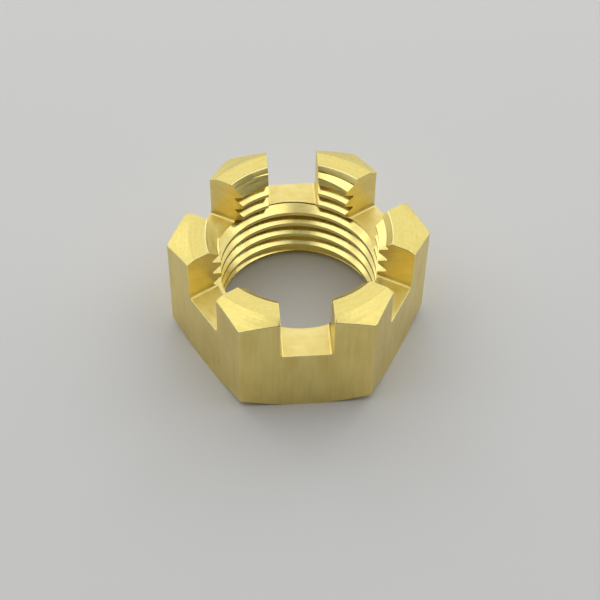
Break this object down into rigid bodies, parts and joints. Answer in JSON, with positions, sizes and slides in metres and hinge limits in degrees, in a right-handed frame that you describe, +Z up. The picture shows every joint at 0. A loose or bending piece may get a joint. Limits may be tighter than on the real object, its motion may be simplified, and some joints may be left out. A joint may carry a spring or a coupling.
{
  "type": "castle nut",
  "caption": "Hexagonal brass nut with a threaded bore and slots milled across its chamfered top for a split pin.",
  "frame": {"origin": "centre of the bearing face, on the thread axis", "axes": "+Z up the thread axis towards the slotted end, +X through a corner of the hexagon, +Y through the middle of a flat and its slot"},
  "size_m": [0.0472, 0.041, 0.024],
  "materials": {
    "brass": "turned and milled, bright"
  },
  "bodies": {
    "root": {"castle_nut": "brass"}
  },
  "joints": []
}
